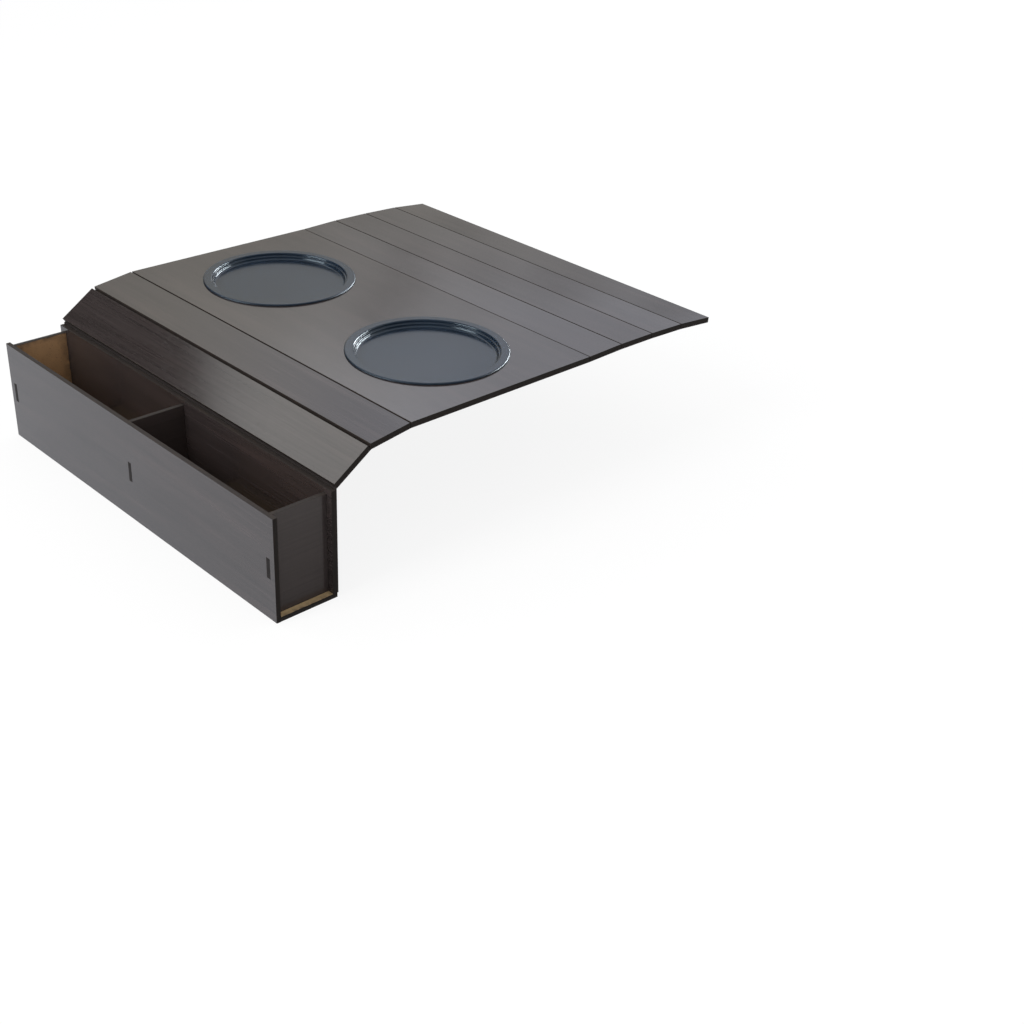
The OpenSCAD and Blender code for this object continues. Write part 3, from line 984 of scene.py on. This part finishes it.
def revolve(profile, centre):
    """Surface at (r cos a, r sin a, z) for each profile point (r, z); its two ends on the axis close it.

    The map holds the angle as a share of a turn, and the length along the profile in metres.
    """
    middle = profile[1:-1]
    sides = DISH_SIDES
    a = np.arange(sides) * 2 * math.pi / sides
    rings = np.stack([
        centre[0] + middle[:, :1] * np.cos(a), centre[1] + middle[:, :1] * np.sin(a),
        np.repeat(middle[:, 1:], sides, axis=1),
    ], -1).reshape(-1, 3)
    poles = np.array([[*centre, profile[0, 1]], [*centre, profile[-1, 1]]])
    ring = np.arange(len(middle) * sides).reshape(len(middle), sides)
    after = np.roll(ring, -1, axis=1)
    quads = np.stack([ring[:-1], ring[1:], after[1:], after[:-1]], -1).reshape(-1, 4)
    first, last = len(rings), len(rings) + 1
    top = np.stack([np.full(sides, first), ring[0], after[0]], -1)
    foot = np.stack([np.full(sides, last), after[-1], ring[-1]], -1)
    length = np.concatenate([[0.0], np.cumsum(np.linalg.norm(np.diff(profile, axis=0), axis=1))])
    share = np.arange(sides + 1) / sides
    u0, u1 = share[:-1], share[1:]
    v0, v1 = length[1:-2, None], length[2:-1, None]
    half = (u0 + u1) / 2
    quad_map = corner_maps([(u0, v0), (u0, v1), (u1, v1), (u1, v0)])
    top_map = corner_maps([(half, length[0]), (u0, length[1]), (u1, length[1])])
    foot_map = corner_maps([(half, length[-1]), (u1, length[-2]), (u0, length[-2])])
    faces = quads.tolist() + top.tolist() + foot.tolist()
    return np.vstack([rings, poles]), faces, np.concatenate([quad_map, top_map, foot_map])


def corner_maps(corners):
    """Map values (u, v) of the faces' corners, one row for each corner in turn, face by face."""
    pairs = [np.stack(np.broadcast_arrays(u, v), -1) for u, v in corners]
    return np.stack(pairs, -2).reshape(-1, 2)


class TRAY_OT_dishes(bpy.types.Operator):
    """Makes the two pressed dishes"""
    bl_idname = "sofa_tray.dishes"
    bl_label = "Dishes"

    def execute(self, context):
        settings = context.scene.tray_dishes
        material = finish_named("tray_enamel", settings)
        for cup, centre in zip(CUPS, cup_centres()):
            low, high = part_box(cup)
            radius = (high[0] - low[0]) / 2
            profile = dish_profile(settings, radius, high[2], low[2] + settings.sheet)
            points, faces, corner_map = revolve(profile, centre)
            away = np.clip(radius - np.linalg.norm(points[:, :2] - centre, axis=1), 0.0, MAX_CUT_DISTANCE)
            mesh = make_mesh(cup + "_dish", points, faces, grain=corner_map, away=away, smooth=True)
            piece = make_piece(cup + "_dish", mesh, [material])
            dishes_with_card_highlights().objects.link(piece)
            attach(piece, body_with(cup))
            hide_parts(cup)
        return {"FINISHED"}


# Backing cloth

# Fold strips: joint, parent body, child body, next fold outwards, and the nodes that each stands for
FOLDS = (
    ("inner_slat_fold", "plate", "box_side_inner", "outer_slat_fold", ("backing_box_side_inner",)),
    ("outer_slat_fold", "box_side_inner", "box_side_outer", "box_fold", ("backing_box_side_outer",)),
    ("box_fold", "box_side_outer", "box", None, ("backing_box",)),
    ("free_side_fold_1", "plate", "free_side_1", "free_side_fold_2", ("backing_free_side_1",)),
    ("free_side_fold_2", "free_side_1", "free_side_2", "free_side_fold_3", ("backing_free_side_2",)),
    ("free_side_fold_3", "free_side_2", "free_side_3", "free_side_fold_4", ("backing_free_side_3",)),
    ("free_side_fold_4", "free_side_3", "free_side_4", None, ("backing_free_side_4",)),
)
FOLD_LINES = 13


def fold_place(name):
    """The point (y, z) that a fold turns about."""
    return np.array(JOINTS[name]["pos_m"][1:])


def board_of(body):
    """The board that a body's backing is glued to."""
    return next(name for name in BODIES[body] if name in MAT_BOARDS or name == "box_back")


def tilt_of(body, outward):
    """Angle of a body's backing below level, going outwards."""
    if body == "plate":
        return 0.0
    normal = slat_normal(board_of(body), outward)
    return math.atan2(outward * normal[1], normal[2])


def bend(points, fold, outward, tilt, turn, half_gap):
    """Cloth drawn flat round a fold, brought into place.

    A point at distance s from the fold and height h is turned about the fold by w turn, where w rises
    smoothly from 0 to 1 as s goes from -half_gap to half_gap, and then by the parent's tilt.
    """
    s, h = points[:, 1] * outward, points[:, 2]
    share = np.clip((s + half_gap) / (2 * half_gap), 0.0, 1.0)
    angle = tilt + turn * share * share * (3 - 2 * share)
    out = s * np.cos(angle) + h * np.sin(angle)
    up = h * np.cos(angle) - s * np.sin(angle)
    return np.column_stack([points[:, 0], fold[0] + outward * out, fold[1] + up])


class TRAY_OT_backing(bpy.types.Operator):
    """Makes the backing cloth: the part under the plate, and a strip over each fold"""
    bl_idname = "sofa_tray.backing"
    bl_label = "Backing Cloth"

    def execute(self, context):
        settings = context.scene.tray_cloth
        material = finish_named("tray_cloth", settings)
        low, high = (np.array(corner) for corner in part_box("backing_plate"))
        thick = high[2] - low[2]
        plate_low, plate_high = (np.array(corner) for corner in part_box("centre_plate"))
        inner = np.array([
            [low[0], plate_low[1] + settings.overlap],
            [high[0], plate_high[1] - settings.overlap],
        ])
        holes, radius = cup_centres(), hole_radius("backing_plate")
        points, quads = plan_with_holes(inner[0], inner[1], holes, radius, margin=CLOTH_HOLE_MARGIN)
        away = cut_distance(points, inner[0], inner[1], holes=holes, radius=radius)
        solid = slab(points, quads, low[2], high[2], settings.edge_round, away, holes, radius)
        mesh = make_mesh("backing_under_plate", solid["points"], solid["faces"], grain=solid["grain"])
        piece = make_piece("backing_under_plate", mesh, [material])
        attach(piece, "plate")
        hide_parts("backing_plate")

        for fold_name, parent, child, next_fold, nodes in FOLDS:
            fold = fold_place(fold_name)
            outward = math.copysign(1.0, fold[0])
            tilt, child_tilt = tilt_of(parent, outward), tilt_of(child, outward)
            before = self.reach_back(parent, fold, settings, plate_high[1])
            after = self.reach_out(child, fold, next_fold, nodes[0])
            half_gap = self.half_gap(child, fold)
            span = [-before, after] if outward > 0 else [-after, before]
            close = np.linspace(-half_gap, half_gap, FOLD_LINES)
            x_lines = grid_lines(low[0], high[0])
            y_lines = grid_lines(span[0], span[1], extra=close)
            points, quads = plan_grid(x_lines, y_lines)
            away = np.zeros(len(points))
            solid = slab(points, quads, -thick / 2, thick / 2, settings.edge_round, away)
            bent = bend(solid["points"], fold, outward, tilt, child_tilt - tilt, half_gap)
            name = "backing_over_" + fold_name
            shift = (0.0, fold[0] + outward * abs(fold[1]))
            mesh = make_mesh(name, bent, solid["faces"], grain=solid["grain"] + np.array(shift))
            piece = make_piece(name, mesh, [material])
            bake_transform(piece)
            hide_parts(*nodes)
        return {"FINISHED"}

    @staticmethod
    def on_cloth(fold, outward, tilt, distance):
        """Point on the cloth's middle at a distance from the fold, along the tilt given."""
        y = fold[0] + outward * distance * math.cos(tilt)
        return (0.0, float(y), float(fold[1] - distance * math.sin(tilt)))

    @staticmethod
    def half_gap(child, fold):
        """Distance from the fold to the nearest board of the child: half of the bare strip."""
        distance = np.linalg.norm(node_points(board_of(child))[:, 1:] - fold, axis=1).min()
        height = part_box("backing_plate")[1][2] / 2
        return math.sqrt(distance ** 2 - height ** 2)

    @staticmethod
    def reach_back(parent, fold, settings, plate_edge):
        """How far a strip reaches back from its fold: a little under the plate, or half of a slat."""
        if parent == "plate":
            return abs(fold[0]) - plate_edge + settings.overlap
        own = next(entry for entry in FOLDS if entry[2] == parent)
        return float(np.linalg.norm(fold - fold_place(own[0]))) / 2

    @staticmethod
    def reach_out(child, fold, next_fold, node):
        """How far a strip reaches out from its fold: half of a slat, or to the end of its node."""
        if next_fold:
            return float(np.linalg.norm(fold_place(next_fold) - fold)) / 2
        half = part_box("backing_plate")[1][2] / 2
        distance = np.linalg.norm(node_points(node)[:, 1:] - fold, axis=1).max()
        return math.sqrt(distance ** 2 - half ** 2)


# Stage

WHITE = (1.0, 1.0, 1.0)
DAYLIGHT = (0.90, 0.96, 1.0)
SIDE_TINT = (0.93, 0.965, 1.0)
SENSOR_WIDTH = 36.0
CLIP_START = 0.01
FLOOR_LINES = 9

# Lamps: azimuth and elevation in degrees and distance of the place, then width and height
KEY_LAMP = ((268, 36, 2.2), (0.9, 1.0))
SIDE_LAMP = ((208, 46, 2.4), (1.2, 0.75))
WINDOW_LAMP = ((100, 7, 2.4), (1.35, 0.4))
FAR_WINDOW_LAMP = ((68, 8, 2.4), (1.2, 0.45))
FAR_WINDOW_SHARE = 0.18

# Screens and cards stand round the tray and glow, painting the reflections and the dishes' highlights: azimuths in
# degrees, heights, and a card's strength
BACK_SCREEN = (90, 245)
FRONT_SCREEN = (-122, 30)
SCREEN_FOOT = -0.09
SCREEN_LINES = (63, 13)
CARD_RADIUS = 2.3
CARD_LINES = (13, 5)
WINDOW_CARD = ((62, 107), (0.02, 0.40), 56.0)
KEY_CARD = ((238, 276), (0.02, 0.42), 32.0)

# Ramps of the screens' glow, which paints the reflections: a value's low and high end, and what they are brought
# to
FRONT_DARKNESS = (1.2, 2.6, 0.10, 1.0)
RIGHT_LIFT = (100.0, 150.0, 0.58, -0.01)
LEFT_LIFT = (150.0, 165.0, 0.0, -0.40)
LOW_BRIGHTNESS = (0.70, 1.05, 0.52, 1.04)
HIGH_BRIGHTNESS = (1.05, 1.65, 0.0, 0.30)
PATCH_START, PATCH_STOP = (132.5, 139.0), (149.0, 144.0)
PATCH_FOOT = (1.08, 1.26, 0.0, 0.55)
DOORWAY_START, DOORWAY_STOP = (165.0, 186.0), (240.0, 226.0)
DOORWAY_TOP = (1.97, 1.85)
DOORWAY_LEVEL = (0.0, 1.0, 1.0, 0.03)
SHADE_LEVEL = (0.0, 1.0, 1.0, 0.0)
COOL_DRIFT = (100.0, 240.0, 2.205, -4.095)
COOL_HEIGHT = (0.95, 1.95)
WARM_GLOW, COOL_GLOW = (1.03, 1.0, 0.91), (0.96, 0.99, 1.10)
MIRRORED_FLOOR_TINT = (0.94, 0.98, 1.05)

# Soft dark streaks painted on the back screen, seen as dark patches in reflections: two ends (azimuth in degrees,
# height), half-width in degrees, depth
SHADES = (
    ((137.5, 0.86), (141.0, 1.08), 2.2, 0.46), ((132.9, 0.44), (134.6, 0.56), 1.5, 0.16),
    ((126.5, 0.62), (131.0, 0.88), 2.4, 0.42), ((119.5, 0.50), (124.5, 0.70), 2.0, 0.40),
    ((133.0, 0.80), (135.0, 0.94), 1.8, 0.42), ((137.5, 0.84), (147.0, 1.02), 4.0, 0.22),
    ((156.0, 1.15), (163.0, 1.55), 8.0, 0.12), ((141.0, 0.72), (148.0, 0.94), 5.0, 0.26),
    ((125.0, 0.94), (127.0, 1.06), 3.0, 0.20), ((133.5, 0.78), (136.0, 0.90), 3.0, 0.26),
)
SHADE_OUTER, SHADE_INNER = 0.11, 0.02

# Painted shade in the reflections: a dark card on the floor, to the right of the tray
FLOOR_CARD_LIFT = 0.001
FLOOR_CARD_X, FLOOR_CARD_Y = (0.1505, 1.4), (-0.9, 1.2)
FLOOR_CARD_LINES = 5
FLOOR_SHADE_CARD_LEVEL = (0.15, 0.26, 0.22, 0.58)
FLOOR_SHADE_CARD_GLOW = (1.0, 0.98, 0.96)


def aimed(place):
    """Turn that points a lamp at the tray from its place."""
    return (-Vector(place)).to_track_quat("-Z", "Y").to_euler()


def around(azimuth, elevation, distance):
    """Place at an azimuth from +X towards +Y and an elevation, in degrees, and at a distance."""
    a, e = math.radians(azimuth), math.radians(elevation)
    flat = distance * math.cos(e)
    return flat * math.cos(a), flat * math.sin(a), distance * math.sin(e)


def upright(azimuths, heights, radius, counts):
    """Grid on an upright cylinder: the flat point (azimuth, z) stands at (radius cos, radius sin, z)."""
    flat, quads = plan_grid(np.linspace(*azimuths, counts[0]), np.linspace(*heights, counts[1]))
    a = np.radians(flat[:, 0])
    return np.column_stack([radius * np.cos(a), radius * np.sin(a), flat[:, 1]]), quads, flat


def mirrored_only(piece):
    """Leaves a stage piece to mirror rays alone, so that it lights and shades nothing."""
    piece.visible_camera = False
    piece.visible_diffuse = False
    piece.visible_transmission = False
    piece.visible_volume_scatter = False
    piece.visible_shadow = False


def dishes_with_card_highlights():
    """The collection of the pieces that mirror the bright cards and take their painted highlights: the dishes."""
    return bpy.data.collections.get("dishes_with_card_highlights") or bpy.data.collections.new("dishes_with_card_highlights")


def shine(tree, colour, strength):
    """Sends a glow of this colour and strength to the material's output."""
    if not isinstance(colour, bpy.types.NodeSocket):
        colour = (*colour, 1.0)
    glow = put(tree, "Emission", {"Color": colour, "Strength": strength})
    put(tree, "OutputMaterial", {"Surface": glow.outputs[0]})


def screen_place(tree):
    """Azimuth in degrees and height in metres of a point on a screen."""
    place = put(tree, "SeparateXYZ", {0: put(tree, "UVMap", uv_map=GRAIN_MAP).outputs[0]}).outputs
    return place[0], place[1]


class TRAY_OT_stage(bpy.types.Operator):
    """Makes the camera, the floor, the lamps and the screens"""
    bl_idname = "sofa_tray.stage"
    bl_label = "Stage"

    def execute(self, context):
        settings = context.scene.tray_stage
        far_power = FAR_WINDOW_SHARE * settings.window_power
        self.add_camera(context.scene, settings)
        self.add_floor(settings)
        self.add_dome(context.scene, settings)
        self.add_lamp("key", KEY_LAMP, settings.key_power)
        self.add_lamp("side", SIDE_LAMP, settings.side_power, SIDE_TINT, mirrored=True)
        self.add_lamp("window", WINDOW_LAMP, settings.window_power, DAYLIGHT)
        self.add_lamp("far_window", FAR_WINDOW_LAMP, far_power, DAYLIGHT)
        self.add_screen("back_screen", BACK_SCREEN, settings, self.back_finish())
        self.add_screen("front_screen", FRONT_SCREEN, settings, self.front_finish())
        self.add_card("window_card", *WINDOW_CARD)
        self.add_card("key_card", *KEY_CARD)
        self.add_floor_shade_card()
        context.scene.view_settings.view_transform = "Standard"
        return {"FINISHED"}

    def add_camera(self, scene, settings):
        """The camera at the photograph's place and turn."""
        data = bpy.data.cameras.new("camera")
        data.lens = settings.lens
        data.sensor_width = SENSOR_WIDTH
        data.clip_start = CLIP_START
        camera = bpy.data.objects.new("camera", data)
        camera.location = settings.camera_place
        camera.rotation_euler = settings.camera_turn
        scene.collection.objects.link(camera)
        scene.camera = camera

    def add_floor(self, settings):
        """A wide pale floor just under the box's foot."""
        half = settings.floor_span / 2
        z = CAD_BOX[0][2] - settings.floor_drop
        lines = np.linspace(-half, half, FLOOR_LINES)
        points, quads = plan_grid(lines, lines)
        mesh = make_mesh("floor", np.column_stack([points, np.full(len(points), z)]), quads)
        make_piece("floor", mesh, [self.floor_finish(settings)])

    def floor_finish(self, settings):
        """Matte pale floor, clear from below.

        Looked at or mirrored, it is mostly white, with a faint shadow.
        """
        material, tree = bare_material("floor")
        path = put(tree, "LightPath").outputs
        matte = put(tree, "BsdfDiffuse", {"Color": (*settings.floor_colour, 1.0)})
        white = put(tree, "BsdfDiffuse", {"Color": (*WHITE, 1.0)})
        tint = mixed(tree, path["Is Glossy Ray"], WHITE, MIRRORED_FLOOR_TINT)
        glow = put(tree, "Emission", {"Color": tint, "Strength": 1.0})
        seen = shader_mix(tree, settings.floor_glow, white, glow)
        chosen = shader_mix(tree, self.watched(tree, path), matte, seen)
        below = put(tree, "NewGeometry").outputs["Backfacing"]
        chosen = shader_mix(tree, below, chosen, put(tree, "BsdfTransparent"))
        put(tree, "OutputMaterial", {"Surface": chosen.outputs[0]})
        return material

    @staticmethod
    def watched(tree, path):
        """1 for rays that look at something or mirror it, and 0 for those that only light."""
        mirrored = sum_of(tree, path["Is Glossy Ray"], path["Is Transmission Ray"], "MAXIMUM")
        return sum_of(tree, path["Is Camera Ray"], mirrored, "MAXIMUM")

    def add_dome(self, scene, settings):
        """White surroundings: seen and mirrored at full white, and lighting the tray a little less."""
        world = bpy.data.worlds.new("studio")
        world.use_nodes = True
        scene.world = world
        tree = world.node_tree
        tree.nodes.clear()
        lit = put(tree, "Background", {"Color": (*WHITE, 1.0), "Strength": settings.dome})
        seen = put(tree, "Background", {"Color": (*WHITE, 1.0), "Strength": 1.0})
        chosen = shader_mix(tree, self.watched(tree, put(tree, "LightPath").outputs), lit, seen)
        put(tree, "OutputWorld", {"Surface": chosen.outputs[0]})

    def add_lamp(self, name, shape, power, colour=WHITE, mirrored=False):
        """A soft oblong lamp that points at the tray and is never seen, and only mirrored where asked."""
        place, size = around(*shape[0]), shape[1]
        data = bpy.data.lights.new(name, "AREA")
        data.shape = "RECTANGLE"
        data.size, data.size_y = size
        data.energy = power
        data.color = colour
        lamp = bpy.data.objects.new(name, data)
        lamp.location = place
        lamp.rotation_euler = aimed(place)
        lamp.visible_camera = False
        lamp.visible_glossy = mirrored
        bpy.context.scene.collection.objects.link(lamp)

    def add_screen(self, name, azimuths, settings, finish):
        """A round upright screen that only the glossy faces mirror: its glow paints the reflections.

        Its map holds the azimuth in degrees and the height in metres.
        """
        heights = (SCREEN_FOOT, settings.screen_height)
        points, quads, flat = upright(azimuths, heights, settings.screen_radius, SCREEN_LINES)
        mirrored_only(make_piece(name, make_mesh(name, points, quads, grain=flat[quads]), [finish]))

    def add_card(self, name, azimuths, heights, strength):
        """A glowing upright card that only the dishes mirror, between two azimuths and two heights: a painted
        highlight on the dishes.
        """
        material, tree = bare_material(name)
        shine(tree, DAYLIGHT, strength)
        points, quads, _ = upright(azimuths, heights, CARD_RADIUS, CARD_LINES)
        card = make_piece(name, make_mesh(name, points, quads), [material])
        card.light_linking.receiver_collection = dishes_with_card_highlights()
        mirrored_only(card)

    def front_finish(self):
        """Dim glow that paints the reflection of a dark room behind the camera, brightening softly towards the
        top.
        """
        material, tree = bare_material("front_screen")
        _, height = screen_place(tree)
        shine(tree, WHITE, spread(tree, height, *FRONT_DARKNESS))
        return material

    def back_finish(self):
        """Glowing screen that paints the reflections: brighter towards the top and in a patch, with a dark doorway
        on the left and soft slanting dark streaks on the right.
        """
        material, tree = bare_material("back_screen")
        azimuth, height = screen_place(tree)
        rise = sum_of(tree, height, spread(tree, azimuth, *RIGHT_LIFT))
        rise = sum_of(tree, rise, spread(tree, azimuth, *LEFT_LIFT))
        level = sum_of(tree, spread(tree, rise, *LOW_BRIGHTNESS), spread(tree, rise, *HIGH_BRIGHTNESS))

        patch = product_of(tree, spread(tree, azimuth, *PATCH_START), spread(tree, azimuth, *PATCH_STOP))
        patch = product_of(tree, patch, spread(tree, height, *PATCH_FOOT))
        level = sum_of(tree, level, patch)

        sides = product_of(tree, spread(tree, azimuth, *DOORWAY_START), spread(tree, azimuth, *DOORWAY_STOP))
        doorway = product_of(tree, sides, spread(tree, height, *DOORWAY_TOP))
        level = product_of(tree, level, spread(tree, doorway, *DOORWAY_LEVEL))

        shades = 0.0
        for shade in SHADES:
            shades = sum_of(tree, shades, self.shade(tree, azimuth, height, *shade), "MAXIMUM")
        level = product_of(tree, level, spread(tree, shades, *SHADE_LEVEL))

        drift = spread(tree, azimuth, *COOL_DRIFT)
        cool = spread(tree, sum_of(tree, height, drift), *COOL_HEIGHT)
        shine(tree, mixed(tree, cool, WARM_GLOW, COOL_GLOW), level)
        return material

    @staticmethod
    def shade(tree, azimuth, height, start, stop, width, depth):
        """Soft dark streak painted on a screen, between two points of azimuth and height.

        Across, it falls off as exp(-(distance / width) squared), and it fades out past both ends.
        """
        (a0, z0), (a1, z1) = start, stop
        middle = spread(tree, height, z0, z1, a0, a1)
        aside = sum_of(tree, sum_of(tree, azimuth, middle, "SUBTRACT"), width, "DIVIDE")
        fall = product_of(tree, product_of(tree, aside, aside), -1.0)
        across = put(tree, "Math", {0: fall}, operation="EXPONENT").outputs[0]
        foot = spread(tree, height, z0 - SHADE_OUTER, z0 + SHADE_INNER)
        top = spread(tree, height, z1 + SHADE_OUTER, z1 - SHADE_INNER)
        return product_of(tree, product_of(tree, across, product_of(tree, foot, top)), depth)

    def add_floor_shade_card(self):
        """A dark card on the floor, darkest close to the tray, that only the glossy faces mirror: painted floor
        shade in their reflections.
        """
        z = CAD_BOX[0][2] + FLOOR_CARD_LIFT
        x_lines = np.linspace(*FLOOR_CARD_X, FLOOR_CARD_LINES)
        points, quads = plan_grid(x_lines, np.linspace(*FLOOR_CARD_Y, FLOOR_CARD_LINES))
        mesh = make_mesh("floor_shade_card", np.column_stack([points, np.full(len(points), z)]), quads)
        material, tree = bare_material("floor_shade_card")
        place = put(tree, "SeparateXYZ", {0: put(tree, "TexCoord").outputs["Object"]}).outputs
        shine(tree, FLOOR_SHADE_CARD_GLOW, spread(tree, place[0], *FLOOR_SHADE_CARD_LEVEL))
        mirrored_only(make_piece("floor_shade_card", mesh, [material]))


class TRAY_PT_panel(bpy.types.Panel):
    """Lists the tray's pieces in the sidebar"""
    bl_label = "Sofa Tray"
    bl_idname = "TRAY_PT_panel"
    bl_space_type = "VIEW_3D"
    bl_region_type = "UI"
    bl_category = "Sofa Tray"

    def draw(self, context):
        layout = self.layout
        for operator in MAKERS:
            layout.operator(operator.bl_idname)


MAKERS = (
    TRAY_OT_stage, TRAY_OT_mat_boards, TRAY_OT_box_boards, TRAY_OT_uprights, TRAY_OT_dishes, TRAY_OT_backing,
)
SETTINGS = {
    "tray_boards": TrayBoardSettings, "tray_dishes": TrayDishSettings,
    "tray_cloth": TrayClothSettings, "tray_stage": TrayStageSettings,
}
CLASSES = (*SETTINGS.values(), *MAKERS, TRAY_PT_panel)


def register():
    for cls in CLASSES:
        bpy.utils.register_class(cls)
    for name, group in SETTINGS.items():
        setattr(bpy.types.Scene, name, PointerProperty(type=group))


def unregister():
    for name in SETTINGS:
        delattr(bpy.types.Scene, name)
    for cls in reversed(CLASSES):
        bpy.utils.unregister_class(cls)


def main():
    """Registers the classes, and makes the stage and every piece."""
    register()
    for operator in MAKERS:
        group, name = operator.bl_idname.split(".")
        getattr(getattr(bpy.ops, group), name)()


if __name__ == "__main__":
    main()
